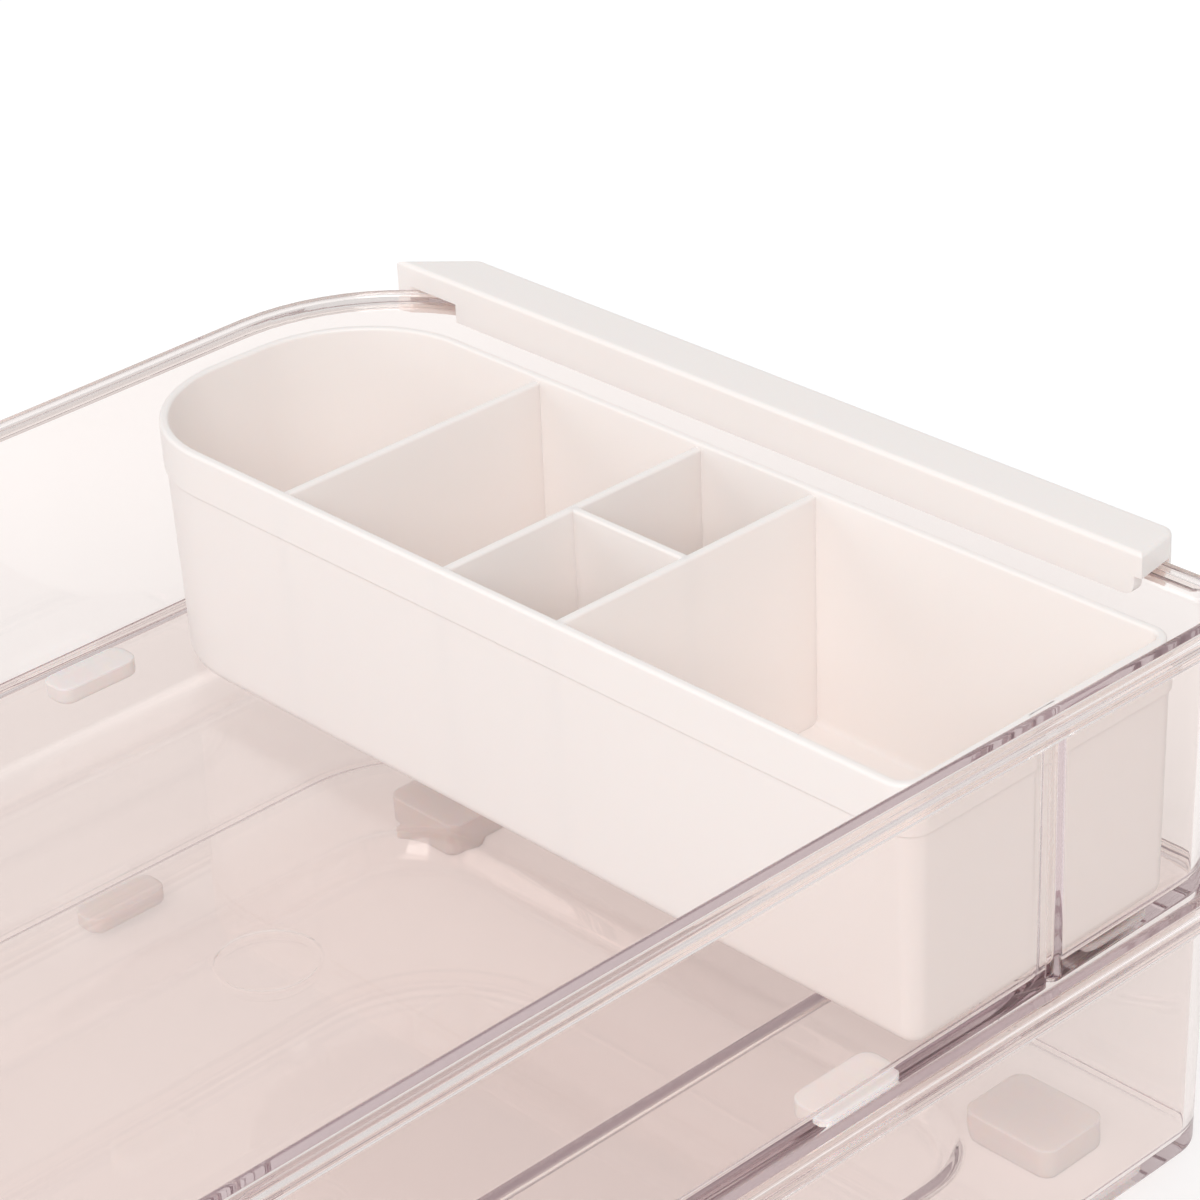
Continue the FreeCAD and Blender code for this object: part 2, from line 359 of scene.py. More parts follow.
@dataclass(frozen=True)
class BinRoundings:
    """Roundings of the bin's section, from the well up, over the rim and down outside. Sizes in mm."""

    well: float = 2.6
    lip: float = 3.0
    wall_foot: float = 1.8
    rim_inside: float = 1.8
    rim_edge: float = 0.6
    skirt: float = 0.45
    under_rim: float = 0.6
    rim_root: float = 0.8
    outer_foot: float = 0.9
    pan_top: float = 2.4
    pan_foot: float = 3.0
    support: float = 0.2


@dataclass
class ClearBin:
    """One clear moulded bin, as a closed surface swept round its rounded rectangular plan. Sizes in mm."""

    tier: Tier
    left_radius: float = 36.0
    right_radius: float = 12.0
    rim_width: float = 5.5
    wall: float = 2.0
    lean: float = 1.2
    rim_thickness: float = 1.8
    skirt_height: float = 3.0
    skirt_thickness: float = 1.6
    ledge_width: float = 22.0
    ledge_thickness: float = 2.2
    well_depth: float = 4.6
    well_lean: float = 3.6
    well_corner: float = 18.0
    floor_thickness: float = 2.2
    left_groove: Groove = Groove(3.6, 5.6, 2.9, 1.5)
    right_groove: Groove = Groove(3.0, 3.4, 1.6, 1.0)
    groove_drop: float = 5.5
    rib_skin: float = 1.5
    rib_offset: float = 72.85
    bow: float = 1.2
    mark_radius: float = 8.5
    mark_width: float = 0.5
    mark_depth: float = 0.1
    mark_slope: float = 0.15
    mark_steps: Triple = (1.3, 0.25, 0.08)
    floor_circle: float = 14.0
    pan_shift: float = 1.0
    level_run: float = 4.0
    ledge_run: float = 8.0
    wall_zone: float = 3.5
    rib_fade: float = 0.6
    least_radius: float = 0.4
    rib_levels: tuple[float, ...] = (1.2, 0.6, 0.45, 0.3, 0.15, 0.0, -0.25)
    rounding: BinRoundings = BinRoundings()

    def __post_init__(self) -> None:
        """Take the outer sizes from the node."""
        low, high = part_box(self.node)
        self.plan = Plan(high.x / MM, high.y / MM, self.left_radius, self.right_radius)
        self.well_drop = self.well_depth + self.floor_thickness - self.ledge_thickness
        self.ledge_under = low.z / MM + self.well_drop
        self.height = high.z / MM - self.ledge_under
        self.lip = self.rim_width + self.lean + self.ledge_width

    @property
    def node(self) -> str:
        """Name of the bin's node."""
        return self.tier.value + "_bin"

    def leaned(self, offset: float, level: float) -> Turn:
        """Corner of the section on a leaning wall whose offset is given at the top of the rim."""
        return Turn(offset + self.lean * (1.0 - level / self.height), level)

    def inner_section(self) -> np.ndarray:
        """Cross-section from the well's floor up to the middle of the rim's top.

        Returns:
            Array of offset and height, one row for each ring.
        """
        foot = self.rim_width + self.lean
        floor_level = self.floor_thickness - self.well_drop
        rib_top = self.height - self.groove_drop + self.rib_skin
        turns = [
            Turn(self.lip + self.well_lean + self.level_run, floor_level),
            Turn(self.lip + self.well_lean, floor_level, self.rounding.well),
            Turn(self.lip, self.ledge_thickness, self.rounding.lip),
            Turn(foot + self.ledge_run, self.ledge_thickness),
            Turn(foot, self.ledge_thickness, self.rounding.wall_foot),
        ]
        turns += [self.leaned(self.rim_width, rib_top - drop) for drop in self.rib_levels]
        turns.append(Turn(self.rim_width, self.height, self.rounding.rim_inside))
        turns.append(Turn(0.5 * self.rim_width, self.height))
        return rounded_section(turns, support=self.rounding.support)

    def outer_section(self) -> np.ndarray:
        """Cross-section from the middle of the rim's top, round its skirt and down to the underside.

        Returns:
            Array of offset and height, one row for each ring.
        """
        face = self.rim_width - self.wall
        foot = face + self.lean
        under_rim = self.height - self.rim_thickness
        skirt_foot = self.height - self.skirt_height
        groove_top = self.height - self.groove_drop
        pan = self.lip - self.floor_thickness + self.pan_shift
        turns = [
            Turn(0.5 * self.rim_width, self.height),
            Turn(0.0, self.height, self.rounding.rim_edge),
            Turn(0.0, skirt_foot, self.rounding.skirt),
            Turn(self.skirt_thickness, skirt_foot, self.rounding.skirt),
            Turn(self.skirt_thickness, under_rim, self.rounding.under_rim),
            Turn(face, under_rim, self.rounding.rim_root),
        ]
        turns += [self.leaned(face, groove_top - drop) for drop in self.rib_levels[::-1]]
        turns += [
            Turn(foot, 0.0, self.rounding.outer_foot),
            Turn(foot + self.ledge_run, 0.0),
            Turn(pan, 0.0, self.rounding.pan_top),
            Turn(pan + self.well_lean, -self.well_drop, self.rounding.pan_foot),
            Turn(pan + self.well_lean + self.level_run, -self.well_drop),
        ]
        return rounded_section(turns, support=self.rounding.support)

    def radii(self, offset: np.ndarray, corner: float, foot: float, lip: float,
              lip_radius: float) -> np.ndarray:
        """Plan radius at each offset: concentric in the wall, concentric in the well, and even between.

        Args:
            offset: offset of each ring.
            corner: radius of the rim's outer edge at this corner.
            foot: offset of the wall's foot.
            lip: offset of the well's lip.
            lip_radius: plan radius of the well's lip.

        Returns:
            One radius for each ring.
        """
        in_wall = np.maximum(corner - offset, self.least_radius)
        in_well = lip_radius + lip - offset
        share = np.clip((offset - foot) / (lip - foot), 0.0, 1.0)
        between = (1.0 - share) * max(corner - foot, self.least_radius) + share * lip_radius
        return np.where(offset <= foot, in_wall, np.where(offset >= lip, in_well, between))

    def skin(self, section: np.ndarray, inner: bool) -> np.ndarray:
        """Sweep one side of the moulding round the plan. The lower bin has plain walls.

        The bow grows from nothing at the ledge to its whole at the rim, and stays on the wall.

        Args:
            section: cross-section of this side.
            inner: True for the inside of the moulding.

        Returns:
            Array of rings by points round the plan by three coordinates.
        """
        offset, height = section[:, 0], section[:, 1]
        foot = self.rim_width + self.lean - (0.0 if inner else self.wall)
        on_wall = offset < foot + self.wall_zone
        ribs = (None, None)
        if self.tier is Tier.UPPER:
            ribs = tuple(self.ribs(groove, height, on_wall, inner)
                         for groove in (self.left_groove, self.right_groove))
        bow = self.bow * np.clip(height / self.height, 0.0, 1.0) * on_wall
        wall_face = 0.0 if inner else self.floor_thickness
        left, right = (self.radii(offset, corner, foot, self.lip - wall_face, self.well_corner + wall_face)
                       for corner in (self.left_radius, self.right_radius))
        return self.plan.sweep(section, left, right, ribs, bow)

    def ribs(self, groove: Groove, height: np.ndarray, on_wall: np.ndarray, inner: bool) -> Ribs:
        """Ribs of one long wall, as grooves outside or as the skin round them inside.

        A groove's half width grows evenly from its top to its foot, and the rib inside follows it with the
        skin of plastic between. Both fade to nothing at their top, and the ledge has neither.

        Args:
            groove: sizes of this wall's grooves.
            height: height of each ring.
            on_wall: which rings lie on the wall.
            inner: True for the inside of the moulding.

        Returns:
            The ribs as they cross each ring.
        """
        skin = groove.skin if inner else 0.0
        top = self.height - self.groove_drop
        below = np.clip(top - height, 0.0, self.height)
        growth = (groove.foot_width - groove.top_width) * below / top
        half_width = 0.5 * (groove.top_width + growth) + skin
        rib_top = top + (self.rib_skin if inner else 0.0)
        present = smooth_step((rib_top - height) / self.rib_fade) * on_wall
        depth = groove.depth + skin - (self.wall if inner else 0.0)
        return Ribs((-self.rib_offset, self.rib_offset), half_width, depth * present)

    @staticmethod
    def towards_circle(ring: np.ndarray, radius: float, share: float, level: float) -> np.ndarray:
        """Ring between a plan ring and a circle about the centre: their mean, weighted by the share.

        Args:
            ring: the plan ring.
            radius: radius of the circle.
            share: weight of the circle.
            level: height of the new ring.

        Returns:
            One row of three coordinates for each point.
        """
        flat = ring[:, :2]
        circle = flat / np.linalg.norm(flat, axis=1, keepdims=True) * radius
        mixed = (1.0 - share) * flat + share * circle
        return np.column_stack([mixed, np.full(len(mixed), level)])

    def gate_mark(self, floor: float) -> list[Triple]:
        """Share, radius and level of each ring on the floor, from the middle out, with the ring groove.

        Level rings hold the floor flat on both sides of the groove, and two wide ones lead on to the well.

        Args:
            floor: height of the well's floor.

        Returns:
            Share of the circle, its radius and its height, for each ring.
        """
        outer, inner, slope = self.mark_radius, self.mark_radius - self.mark_width, self.mark_slope
        groove, edge = floor - self.mark_depth, floor - 0.2 * self.mark_depth
        far, near, brink = self.mark_steps
        return [(1.0, inner - far, floor), (1.0, inner - near, floor), (1.0, inner - brink, edge),
                (1.0, inner + slope, groove), (1.0, outer - slope, groove), (1.0, outer + brink, edge),
                (1.0, outer + near, floor), (1.0, outer + far, floor),
                (0.7, self.floor_circle, floor), (0.35, self.floor_circle, floor)]

    def build(self, material: bpy.types.Material) -> bpy.types.Object:
        """Close the swept section over the floor, above and below, and make the piece.

        Args:
            material: the bin's finish.

        Returns:
            The finished bin.
        """
        up = self.skin(self.inner_section(), True)
        down = self.skin(self.outer_section(), False)
        floor = self.floor_thickness - self.well_drop
        inside = [self.towards_circle(up[0], radius, share, level)
                  for share, radius, level in self.gate_mark(floor)]
        under = [self.towards_circle(down[-1], self.floor_circle, share, -self.well_drop)
                 for share in (0.5, 1.0)]
        rings = np.concatenate([np.array(inside), up, down[1:], np.array(under)], axis=0)
        rings[..., 2] += self.ledge_under
        skin = Skin()
        skin.add_rings(rings)
        return skin.build(self.node + "_moulding", self.tier.body, self.node, Slot.CLEAR, material)


# ---------------------------------------------------------------------------- tray


@dataclass
class DividedTray:
    """White lift-out tray: a rounded shell with a proud top band, and four thin dividers. Sizes in mm."""

    left_radius: float = 25.0
    right_radius: float = 4.0
    wall: float = 1.6
    floor: float = 1.8
    lean: float = 0.9
    foot_round: float = 2.0
    floor_round: float = 1.2
    lip_inside: float = 0.5
    lip_outside: float = 0.6
    level_run: float = 6.0
    draft_depth: float = 9.0
    draft: float = 0.25
    least_radius: float = 0.8
    band_height: float = 8.4
    band_step: float = 0.3
    band_round: float = 0.3
    band_slant: tuple[float, float] = (0.25, 0.1)
    end_reach: float = 2.0
    notch_depth: float = 0.4
    notch_half_width: float = 3.2
    divider: float = 1.5
    divider_drop: float = 0.9
    divider_top: float = 0.7
    divider_round: float = 0.45
    divider_corner: float = 0.3
    divider_sunk: float = 0.8
    divider_end: float = 0.6
    long_dividers: tuple[float, ...] = (-44.5, -5.5, 20.5)
    node: str = "divided_tray"

    def __post_init__(self) -> None:
        """Take the outer sizes and the place from the node. The right end runs on almost to the wall."""
        low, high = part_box(self.node)
        half_x = 0.5 * ((high.x - low.x) / MM + self.end_reach)
        self.plan = Plan(half_x, 0.5 * (high.y - low.y) / MM, self.left_radius, self.right_radius,
                         0.5 * self.end_reach, 0.5 * (high.y + low.y) / MM, corner_steps=18)
        self.foot_level = low.z / MM
        self.height = (high.z - low.z) / MM

    def section(self) -> np.ndarray:
        """Cross-section from the floor, over the lip and down to the underside of the foot.

        Returns:
            Array of offset and height, one row for each ring.
        """
        outer_foot = self.band_step + self.lean
        band_foot = self.height - self.band_height
        face = self.band_step + self.lean * (1.0 - band_foot / self.height)
        above, below = self.band_slant
        return rounded_section([
            Turn(self.wall + self.lean + self.level_run, self.floor),
            Turn(self.wall + self.lean, self.floor, self.floor_round),
            Turn(self.wall + self.draft, self.height - self.draft_depth),
            Turn(self.wall, self.height, self.lip_inside),
            Turn(0.0, self.height, self.lip_outside),
            Turn(0.0, band_foot + above, self.band_round),
            Turn(face, band_foot - below, self.band_round),
            Turn(0.5 * (face + outer_foot), 0.5 * band_foot),
            Turn(outer_foot, 0.0, self.foot_round),
            Turn(outer_foot + self.level_run, 0.0),
        ], steps=5)

    def shell(self) -> np.ndarray:
        """Rings of the shell, with a shallow notch outside its right end, where it clears the bin's rib.

        Returns:
            Array of rings by points by three coordinates, from the foot up.
        """
        section = self.section()
        offset = section[:, 0]
        outside = (offset < 0.5 * self.wall) | (section[:, 1] < 0.5 * self.floor)
        notch = Ribs((0.0,), np.full(len(section), self.notch_half_width), self.notch_depth * outside)
        left = np.maximum(self.left_radius - offset, self.least_radius)
        right = np.maximum(self.right_radius - offset, self.least_radius)
        return self.plan.sweep(section, left, right, (None, notch))

    def slab(self, centre: tuple[float, float], half: tuple[float, float], draw: float) -> np.ndarray:
        """Rings of one divider with a rounded top, its foot sunk in the floor and its ends in the walls.

        Args:
            centre: middle of the divider in plan, from the middle of the tray.
            half: half its length along X and Y.
            draw: how much its ends along Y draw in from top to foot, to stay inside the leaning walls.

        Returns:
            Array of rings by points by three coordinates, from the middle of the tray's foot.
        """
        top, foot = self.height - self.divider_drop, self.floor - self.divider_sunk
        corner = self.divider_corner
        plan = Plan(half[0], half[1], corner, corner, centre[0], 0.0, corner_steps=2)
        section = rounded_section([Turn(self.divider_top, top), Turn(0.0, top, self.divider_round),
                                   Turn(0.0, foot + corner), Turn(0.0, foot)])
        radius = np.maximum(corner - section[:, 0], 0.1 * corner)
        rings = plan.sweep(section, radius, radius)
        rings[..., 1] *= 1.0 - draw / half[1] * (top - rings[..., 2]) / (top - foot)
        rings[..., 1] += centre[1]
        return rings

    def build(self, material: bpy.types.Material) -> bpy.types.Object:
        """Join the shell and the dividers in one piece.

        Args:
            material: the tray's finish.

        Returns:
            The finished tray.
        """
        half = 0.5 * self.divider
        reach = self.plan.half_y - self.divider_end * self.wall
        middle, right = self.long_dividers[1:]
        draw = self.lean + self.band_step
        slabs = [self.slab((x, 0.0), (half, reach), draw) for x in self.long_dividers]
        slabs.append(self.slab((0.5 * (middle + right), 0.0), (0.5 * (right - middle), half), 0.0))
        skin = Skin()
        skin.add_rings(self.shell() + (0.0, 0.0, self.foot_level))
        for rings in slabs:
            skin.add_rings(rings + (0.0, self.plan.centre_y, self.foot_level))
        return skin.build("tray_moulding", "tray", self.node, Slot.WHITE, material)


# ---------------------------------------------------------------------------- pads


@dataclass
class SoftPad:
    """One silicone pad with soft edges, in the place of its node. Sizes in mm."""

    node: str
    tier: Tier
    corner: float = 2.5
    foot_edge: float = 0.9
    top_edge: float = 0.25
    level_run: float = 1.8
    least_radius: float = 0.3

    def build(self, slot: Slot, material: bpy.types.Material) -> bpy.types.Object:
        """Sweep the pad's rounded edge round its plan.

        Args:
            slot: the record's slot that the pad's finish belongs to.
            material: the pad's finish.

        Returns:
            The finished pad.
        """
        low, high = (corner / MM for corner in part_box(self.node))
        middle = 0.5 * (low + high)
        plan = Plan(0.5 * (high.x - low.x), 0.5 * (high.y - low.y), self.corner, self.corner,
                    middle.x, middle.y, corner_steps=8)
        section = rounded_section([Turn(self.level_run, high.z), Turn(0.0, high.z, self.top_edge),
                                   Turn(0.0, low.z, self.foot_edge), Turn(self.level_run, low.z)])
        radius = np.maximum(self.corner - section[:, 0], self.least_radius)
        skin = Skin()
        skin.add_rings(plan.sweep(section, radius, radius))
        return skin.build(self.node + "_pad", self.tier.body, self.node, slot, material)


# ---------------------------------------------------------------------------- finishes


GRAIN_DEFAULTS = {"Swing": 0.02, "Roughness": 0.4, "Spread": 0.06, "Flow Scale": 18.0,
                  "Skin Scale": 900.0}
FLOW_DETAIL = 3.0
SKIN_DETAIL = 2.0
WARM_WHITE = (0.96, 0.905, 0.878)
SILICONE_WHITE = (0.995, 0.985, 0.975)


class Shader:
    """Short ways to add, set and join the nodes of one material or group."""

    def __init__(self, tree: bpy.types.NodeTree) -> None:
        """Keep the tree that nodes are added to."""
        self.tree = tree

    def add(self, kind: str, **settings: object) -> bpy.types.Node:
        """Add a node and set its own properties.

        Args:
            kind: type of the node.
            settings: properties of the node, by name.

        Returns:
            The new node.
        """
        node = self.tree.nodes.new(kind)
        for name, value in settings.items():
            setattr(node, name, value)
        return node

    def join(self, source: bpy.types.NodeSocket, target: bpy.types.NodeSocket) -> None:
        """Lead one socket into another."""
        self.tree.links.new(source, target)

    @staticmethod
    def fill(node: bpy.types.Node, values: dict[str, object]) -> None:
        """Set plain values on a node's inputs, by their names."""
        for name, value in values.items():
            node.inputs[name].default_value = value

    def value(self, operation: str, *terms: bpy.types.NodeSocket | float) -> bpy.types.NodeSocket:
        """Work out one value in a math node.

        Args:
            operation: what the node does.
            terms: sockets and plain numbers, in the order of its inputs.

        Returns:
            The node's output.
        """
        node = self.add("ShaderNodeMath", operation=operation)
        for term, target in zip(terms, node.inputs):
            if isinstance(term, bpy.types.NodeSocket):
                self.join(term, target)
            else:
                target.default_value = term
        return node.outputs[0]

    def mix(self, factor: bpy.types.NodeSocket, first: bpy.types.NodeSocket,
            second: bpy.types.NodeSocket) -> bpy.types.NodeSocket:
        """Mix two shaders.

        Args:
            factor: share of the second shader.
            first: the shader for a factor of 0.
            second: the shader for a factor of 1.

        Returns:
            The mixed shader.
        """
        node = self.add("ShaderNodeMixShader")
        for source, target in zip((factor, first, second), node.inputs):
            self.join(source, target)
        return node.outputs[0]


def blank_material(name: str) -> tuple[bpy.types.Material, Shader, bpy.types.Node]:
    """New node material with only its output node.

    Args:
        name: name of the material.

    Returns:
        The material, the helper for its nodes and its output node.
    """
    material = bpy.data.materials.new(name)
    material.use_nodes = True
    material.node_tree.nodes.clear()
    shader = Shader(material.node_tree)
    return material, shader, shader.add("ShaderNodeOutputMaterial")


def moulded_grain_group() -> bpy.types.NodeTree:
    """Shared effect of moulded plastic: faint flow marks in colour and gloss, and a fine skin.

    The flow is a wide soft noise of the Object coordinates, the skin a fine one. The colour is the base
    colour times one plus the flow's swing, and the roughness is the plain roughness plus its share.

    Returns:
        Group with the outputs Color, Roughness and Skin, which is a height for a bump.
    """
    group = bpy.data.node_groups.new("moulded_grain", "ShaderNodeTree")
    face = group.interface
    face.new_socket("Color", in_out="INPUT", socket_type="NodeSocketColor")
    for name, value in GRAIN_DEFAULTS.items():
        socket = face.new_socket(name, in_out="INPUT", socket_type="NodeSocketFloat")
        socket.default_value = value
    face.new_socket("Color", in_out="OUTPUT", socket_type="NodeSocketColor")
    face.new_socket("Roughness", in_out="OUTPUT", socket_type="NodeSocketFloat")
    face.new_socket("Skin", in_out="OUTPUT", socket_type="NodeSocketFloat")
    shader = Shader(group)
    inputs = shader.add("NodeGroupInput").outputs
    outputs = shader.add("NodeGroupOutput").inputs
    place = shader.add("ShaderNodeTexCoord").outputs["Object"]
    flow = shader.add("ShaderNodeTexNoise")
    shader.fill(flow, {"Detail": FLOW_DETAIL})
    shader.join(place, flow.inputs["Vector"])
    shader.join(inputs["Flow Scale"], flow.inputs["Scale"])
    skin = shader.add("ShaderNodeTexNoise")
    shader.fill(skin, {"Detail": SKIN_DETAIL})
    shader.join(place, skin.inputs["Vector"])
    shader.join(inputs["Skin Scale"], skin.inputs["Scale"])
    centred = shader.value("SUBTRACT", flow.outputs["Fac"], 0.5)
    swing = shader.value("MULTIPLY_ADD", centred, inputs["Swing"], 1.0)
    rough = shader.value("MULTIPLY_ADD", centred, inputs["Spread"], inputs["Roughness"])
    tint = shader.add("ShaderNodeVectorMath", operation="SCALE")
    shader.join(inputs["Color"], tint.inputs[0])
    shader.join(swing, tint.inputs["Scale"])
    shader.join(tint.outputs[0], outputs["Color"])
    shader.join(rough, outputs["Roughness"])
    shader.join(skin.outputs["Fac"], outputs["Skin"])
    return group


@dataclass(frozen=True)
class ClearPlastic:
    """Polished clear plastic with a blush tint that deepens with the length of the light's way in it."""

    name: str = "blush_clear"
    color: Triple = (0.963, 0.913, 0.89)
    absorbed_per_metre: Triple = (7.0, 9.5, 9.5)
    ior: float = 1.49
    roughness: float = 0.015
    swing: float = 0.01
    spread: float = 0.01
    flow_scale: float = 12.0
    lamp_tint: Triple = (0.99, 0.972, 0.966)
    # partly the light lost on long ways inside a wall, partly painted shade on the rims and the band
    # between the tiers
    late_shade_tint: Triple = (0.84, 0.78, 0.8)
    longest_way: int = 7

    def make(self, grain: bpy.types.NodeTree) -> bpy.types.Material:
        """Build the material: Principled glass for sight, and Transparent for light that only passes.

        Shadow rays and rays from a matt surface go straight on. So does a ray that has met more surfaces
        than the longest way, because light that is led along inside a wall comes out somewhere in the end;
        it takes the late tint, which stands for the light lost on that long way and also paints shade on
        the rims and on the band between the tiers.
        The absorption takes each colour's own share of light per metre: the density is the largest share,
        and the colour is one less the share over the density.

        Args:
            grain: the shared moulded grain.

        Returns:
            The finished material.
        """
        material, shader, output = blank_material(self.name)
        surface = shader.add("ShaderNodeBsdfPrincipled")
        shader.fill(surface, {"IOR": self.ior, "Transmission Weight": 1.0})
        marks = shader.add("ShaderNodeGroup", node_tree=grain)
        shader.fill(marks, {"Color": (*self.color, 1.0), "Swing": self.swing, "Roughness": self.roughness,
                            "Spread": self.spread, "Flow Scale": self.flow_scale})
        shader.join(marks.outputs["Color"], surface.inputs["Base Color"])
        shader.join(marks.outputs["Roughness"], surface.inputs["Roughness"])
        path = shader.add("ShaderNodeLightPath").outputs
        soft = shader.value("MAXIMUM", path["Is Shadow Ray"], path["Is Diffuse Ray"])
        # painted shade: a ray past the longest way passes with the darker late tint, which darkens the
        # rims and the band between the tiers
        late = shader.value("GREATER_THAN", path["Ray Depth"], self.longest_way)
        tint = shader.add("ShaderNodeMix", data_type="RGBA")
        shader.fill(tint, {"A": (*self.lamp_tint, 1.0), "B": (*self.late_shade_tint, 1.0)})
        shader.join(late, tint.inputs["Factor"])
        through = shader.add("ShaderNodeBsdfTransparent")
        shader.join(tint.outputs["Result"], through.inputs["Color"])
        straight = shader.value("MAXIMUM", soft, late)
        shader.join(shader.mix(straight, surface.outputs[0], through.outputs[0]),
                    output.inputs["Surface"])
        body = shader.add("ShaderNodeVolumeAbsorption")
        densest = max(self.absorbed_per_metre)
        shader.fill(body, {"Color": (*[1.0 - share / densest for share in self.absorbed_per_metre], 1.0),
                           "Density": densest})
        shader.join(body.outputs[0], output.inputs["Volume"])
        return material


@dataclass(frozen=True)
class SatinPlastic:
    """Opaque moulded plastic with a soft sheen and a little light carried under its skin."""

    name: str
    color: Triple
    roughness: float = 0.42
    glow: float = 0.12
    ior: float = 1.47
    scatter: Triple = (1.0, 0.75, 0.65)
    scatter_scale: float = 0.0025
    skin_strength: float = 0.02
    skin_height: float = 0.0002

    def make(self, grain: bpy.types.NodeTree) -> bpy.types.Material:
        """Build the material from the shared moulded grain.

        Args:
            grain: the shared moulded grain.

        Returns:
            The finished material.
        """
        material, shader, output = blank_material(self.name)
        surface = shader.add("ShaderNodeBsdfPrincipled")
        shader.fill(surface, {"IOR": self.ior, "Subsurface Weight": self.glow,
                              "Subsurface Radius": self.scatter, "Subsurface Scale": self.scatter_scale})
        marks = shader.add("ShaderNodeGroup", node_tree=grain)
        shader.fill(marks, {"Color": (*self.color, 1.0), "Roughness": self.roughness})
        shader.join(marks.outputs["Color"], surface.inputs["Base Color"])
        shader.join(marks.outputs["Roughness"], surface.inputs["Roughness"])
        bump = shader.add("ShaderNodeBump")
        shader.fill(bump, {"Strength": self.skin_strength, "Distance": self.skin_height})
        shader.join(marks.outputs["Skin"], bump.inputs["Height"])
        shader.join(bump.outputs[0], surface.inputs["Normal"])
        shader.join(surface.outputs[0], output.inputs["Surface"])
        return material


# ---------------------------------------------------------------------------- studio


BOUNCES = {"max_bounces": 24, "transmission_bounces": 24, "glossy_bounces": 8, "diffuse_bounces": 8,
           "transparent_max_bounces": 32}


@dataclass(frozen=True)
class Lamp:
    """Square soft lamp that looks at the case's middle. Lengths in metres, power in watts."""

    name: str
    place: Triple
    size: float
    power: float
    aim: Triple = (0.0, 0.03, 0.06)

    def make(self) -> None:
        """Add the lamp to the scene."""
        data = bpy.data.lights.new(self.name, "AREA")
        data.size = self.size
        data.energy = self.power
        lamp = bpy.data.objects.new(self.name, data)
        lamp.location = self.place
        way = Vector(self.aim) - Vector(self.place)
        lamp.rotation_euler = way.to_track_quat("-Z", "Y").to_euler()
        bpy.context.scene.collection.objects.link(lamp)


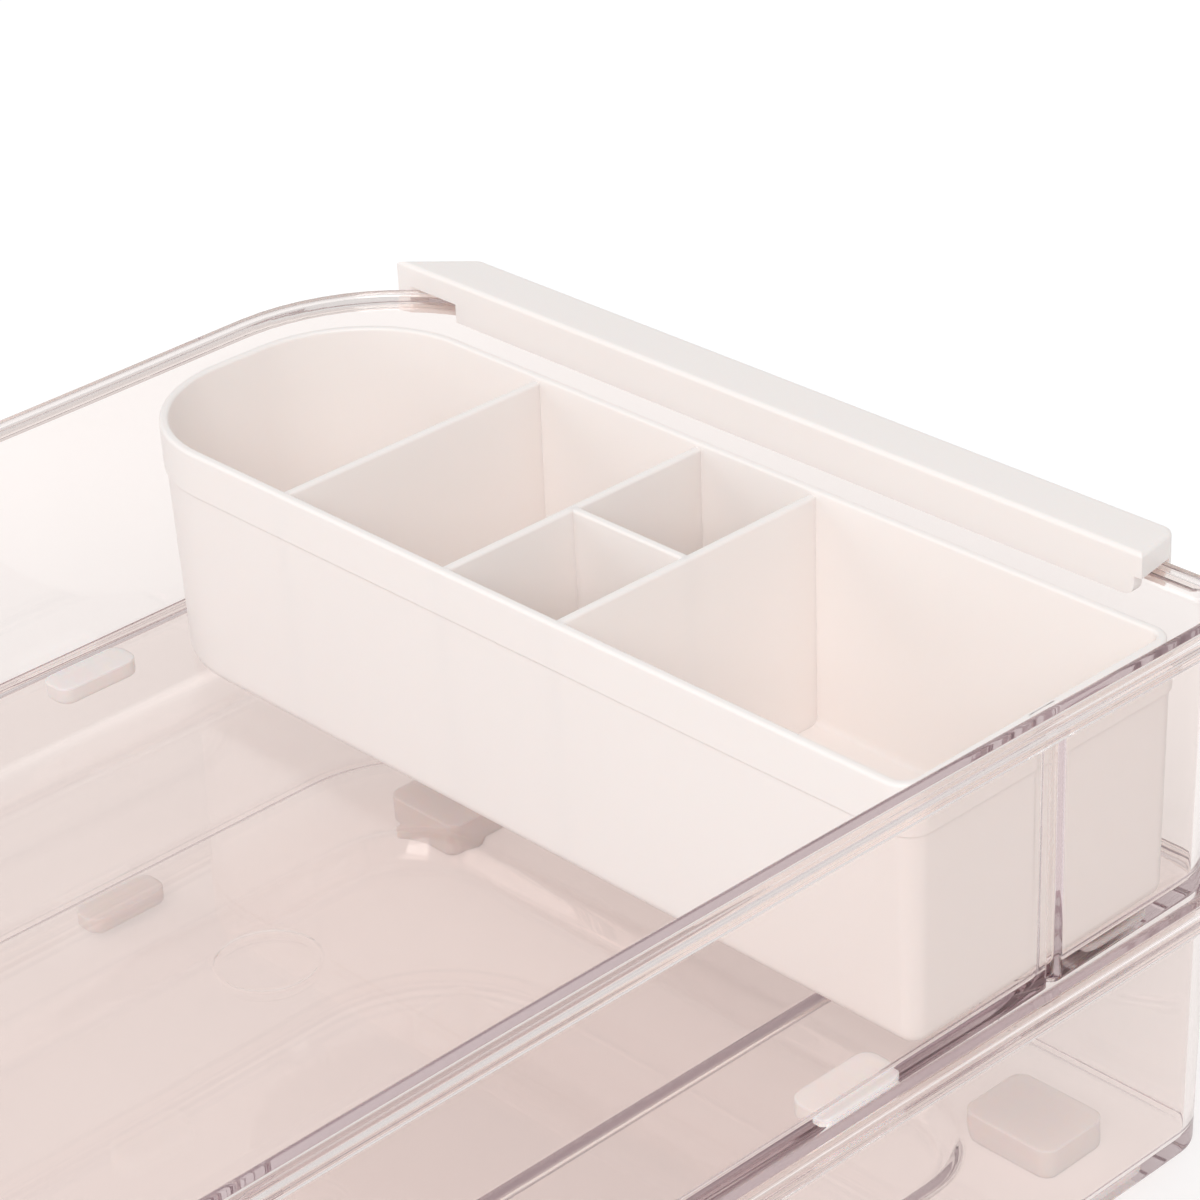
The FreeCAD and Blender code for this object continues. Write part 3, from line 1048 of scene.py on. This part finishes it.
@dataclass
class Studio:
    """White floor, soft daylight, two large soft lamps and the camera. Lengths in metres."""

    focal_px: float = 3773.0
    frame_px: float = 1200.0
    sensor_mm: float = 36.0
    clip_start: float = 0.01
    camera_place: Triple = (0.3959, -0.2845, 0.2724)
    azimuth: float = 47.945
    elevation: float = 28.525
    roll: float = -3.177
    sky: float = 0.8
    floor_size: float = 12.0
    floor_grey: float = 0.82
    # painted shade: the floor as seen is greyer than the lit floor, and its glow is weakest near the case
    shown_grey: float = 0.7
    painted_shade_reach: tuple[float, float] = (0.17, 0.31)
    painted_shade_glow: tuple[float, float] = (0.35, 0.48)
    lamps: tuple[Lamp, ...] = (Lamp("key_lamp", (0.8, -1.0, 1.15), 1.0, 12.0),
                               Lamp("fill_lamp", (-1.2, -1.3, 0.6), 0.9, 4.5))

    def floor(self) -> None:
        """White floor: it shows white to the camera and through clear plastic, and keeps the shadow.

        The glow that takes it to full white rises smoothly with the distance from the case's middle, so
        the
        floor near the case is painted shade: darker than its lamps make it, and seen so through the
        plastic.
        """
        side = self.floor_size
        mesh = bpy.data.meshes.new("floor")
        mesh.from_pydata([(-side, -side, 0), (side, -side, 0), (side, side, 0), (-side, side, 0)], [],
                         [(0, 1, 2, 3)])
        floor = bpy.data.objects.new("floor", mesh)
        bpy.context.scene.collection.objects.link(floor)
        material, shader, output = blank_material("white_floor")
        plain, shown = (shader.add("ShaderNodeBsdfDiffuse") for _ in range(2))
        shader.fill(plain, {"Color": (*[self.floor_grey] * 3, 1.0)})
        shader.fill(shown, {"Color": (*[self.shown_grey] * 3, 1.0)})
        place = shader.add("ShaderNodeTexCoord")
        away = shader.add("ShaderNodeVectorMath", operation="LENGTH")
        shader.join(place.outputs["Object"], away.inputs[0])
        # painted shade: the glow rises with the distance from the case's middle, so the floor round the
        # case is darkened
        glow = shader.add("ShaderNodeMapRange", interpolation_type="SMOOTHSTEP")
        shader.fill(glow, {"From Min": self.painted_shade_reach[0], "From Max": self.painted_shade_reach[1],
                           "To Min": self.painted_shade_glow[0], "To Max": self.painted_shade_glow[1]})
        shader.join(away.outputs["Value"], glow.inputs["Value"])
        light = shader.add("ShaderNodeEmission")
        shader.join(glow.outputs["Result"], light.inputs["Strength"])
        both = shader.add("ShaderNodeAddShader")
        shader.join(shown.outputs[0], both.inputs[0])
        shader.join(light.outputs[0], both.inputs[1])
        shader.join(shader.mix(self.seen(shader), plain.outputs[0], both.outputs[0]),
                    output.inputs["Surface"])
        mesh.materials.append(material)

    @staticmethod
    def seen(shader: Shader) -> bpy.types.NodeSocket:
        """1 for rays from the camera, also after a mirror or clear plastic, and 0 for the rest.

        Args:
            shader: helper of the tree that asks.

        Returns:
            The larger of the three kinds' marks.
        """
        path = shader.add("ShaderNodeLightPath").outputs
        straight = shader.value("MAXIMUM", path["Is Camera Ray"], path["Is Glossy Ray"])
        return shader.value("MAXIMUM", straight, path["Is Transmission Ray"])

    def world(self) -> None:
        """Even daylight, and plain white where the camera or clear plastic looks past the floor."""
        world = bpy.data.worlds.new("daylight")
        bpy.context.scene.world = world
        world.use_nodes = True
        world.node_tree.nodes.clear()
        shader = Shader(world.node_tree)
        output = shader.add("ShaderNodeOutputWorld")
        light, white = (shader.add("ShaderNodeBackground") for _ in range(2))
        shader.fill(light, {"Strength": self.sky})
        shader.join(shader.mix(self.seen(shader), light.outputs[0], white.outputs[0]),
                    output.inputs["Surface"])

    def camera(self, rim_top: float) -> None:
        """Camera turned by azimuth, elevation and roll.

        Args:
            rim_top: height of the top rim, whose middle the camera's place is measured from.
        """
        azimuth, elevation, roll = (math.radians(v) for v in (self.azimuth, self.elevation, self.roll))
        forward = Vector((-math.sin(azimuth) * math.cos(elevation),
                          math.cos(azimuth) * math.cos(elevation), -math.sin(elevation)))
        level_right = Vector((math.cos(azimuth), math.sin(azimuth), 0.0))
        level_up = level_right.cross(forward)
        right = level_right * math.cos(roll) + level_up * math.sin(roll)
        up = right.cross(forward)
        data = bpy.data.cameras.new("camera")
        data.sensor_width = self.sensor_mm
        data.sensor_fit = "HORIZONTAL"
        data.lens = self.focal_px / self.frame_px * self.sensor_mm
        data.clip_start = self.clip_start
        camera = bpy.data.objects.new("camera", data)
        x, y, z = self.camera_place
        turn = Matrix((right, up, -forward)).transposed().to_4x4()
        camera.matrix_world = Matrix.Translation((x, y, z + rim_top)) @ turn
        bpy.context.scene.collection.objects.link(camera)
        bpy.context.scene.camera = camera

    def build(self, rim_top: float) -> None:
        """Set up the whole studio.

        Rays in clear plastic go straight on before they reach the limit for mirror bounces.

        Args:
            rim_top: height of the top rim.
        """
        scene = bpy.context.scene
        scene.view_settings.view_transform = "Standard"
        for name, limit in BOUNCES.items():
            setattr(scene.cycles, name, limit)
        self.floor()
        self.world()
        for lamp in self.lamps:
            lamp.make()
        self.camera(rim_top)


# ---------------------------------------------------------------------------- the whole case


def dress(node: str, material: bpy.types.Material) -> None:
    """Give a node that keeps its own surface its finish, in every slot of its object.

    Args:
        node: name of the node.
        material: its finish.
    """
    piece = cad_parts[node]
    piece.data.materials.clear()
    piece.data.materials.append(material)
    LOG.info("%s: its own surface, in %s", node, material.name)


def main() -> None:
    logging.basicConfig(level=logging.INFO, format="%(name)s: %(message)s")
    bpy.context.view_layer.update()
    grain = moulded_grain_group()
    clear = ClearPlastic().make(grain)
    white = SatinPlastic("warm_white", WARM_WHITE).make(grain)
    foot = SatinPlastic("white_silicone", SILICONE_WHITE, roughness=0.6, glow=0.8).make(grain)
    milky = SatinPlastic("milky_silicone", SILICONE_WHITE, roughness=0.3, glow=0.9).make(grain)
    for tier in Tier:
        ClearBin(tier).build(clear)
    DividedTray().build(white)
    dress("handle_rail", white)
    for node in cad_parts:
        if "_foot_" in node:
            SoftPad(node, Tier.of(node)).build(Slot.FOOT, foot)
        elif "_locator_" in node:
            SoftPad(node, Tier.of(node)).build(Slot.LOCATOR, milky)
    Studio().build(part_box("upper_bin")[1].z)


if __name__ == "__main__":
    main()
